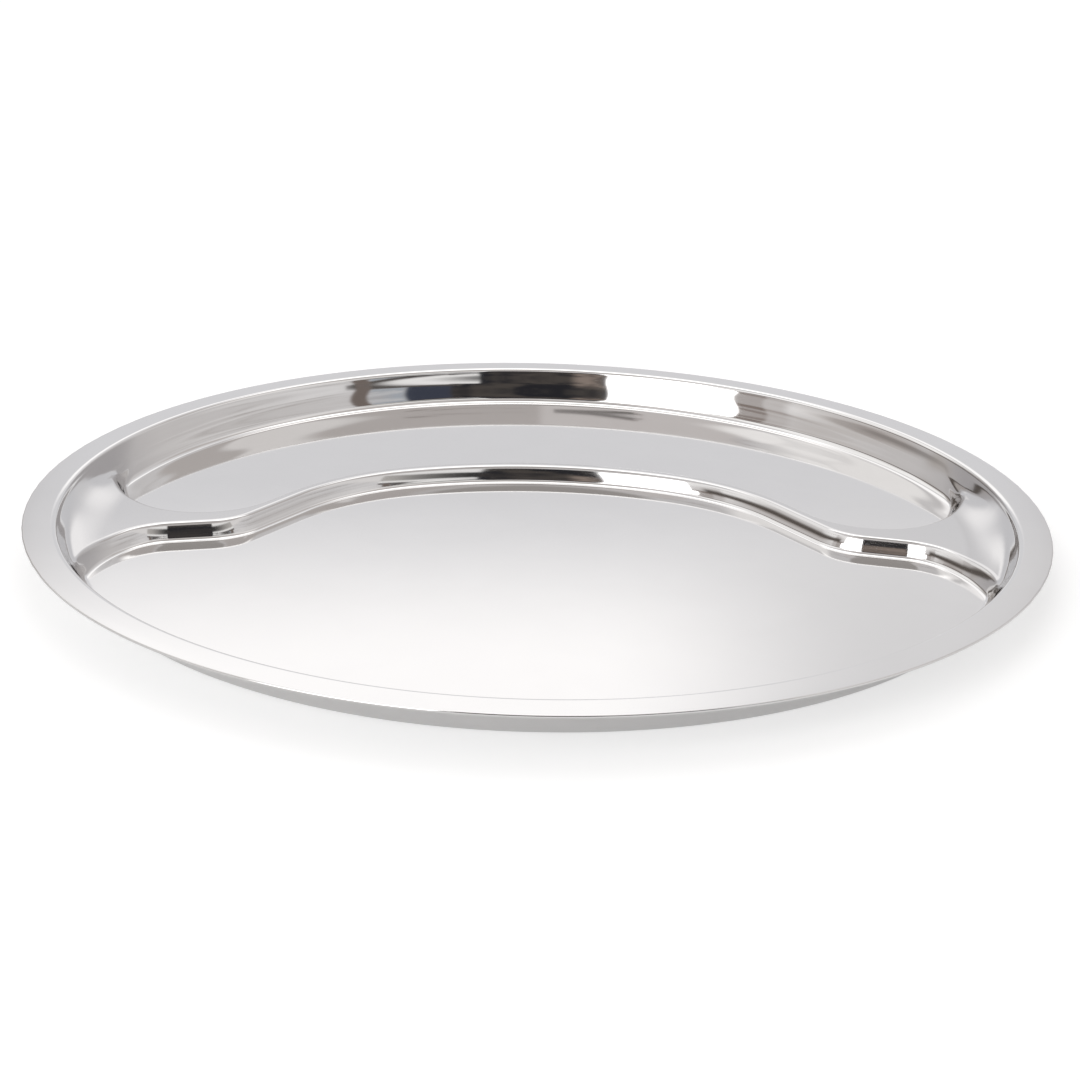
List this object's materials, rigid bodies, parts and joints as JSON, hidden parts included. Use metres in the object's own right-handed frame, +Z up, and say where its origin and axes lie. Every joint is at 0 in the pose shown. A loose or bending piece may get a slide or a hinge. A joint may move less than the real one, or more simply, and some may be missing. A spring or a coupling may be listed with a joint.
{
  "type": "thali plate",
  "caption": "Shallow round serving plate pressed from one steel sheet, with a flat rim and an arched raised divider that parts a large compartment from a crescent-shaped one.",
  "frame": {"origin": "under the middle of the plate, on the plane that it stands on", "axes": "+Z up, out of the compartments. +Y towards the crescent-shaped compartment, -Y towards the eater. +X to the eater's right."},
  "size_m": [0.305, 0.305, 0.0123],
  "materials": {
    "steel": "mirror-polished stainless steel"
  },
  "bodies": {
    "root": {"plate": "steel"}
  },
  "joints": []
}
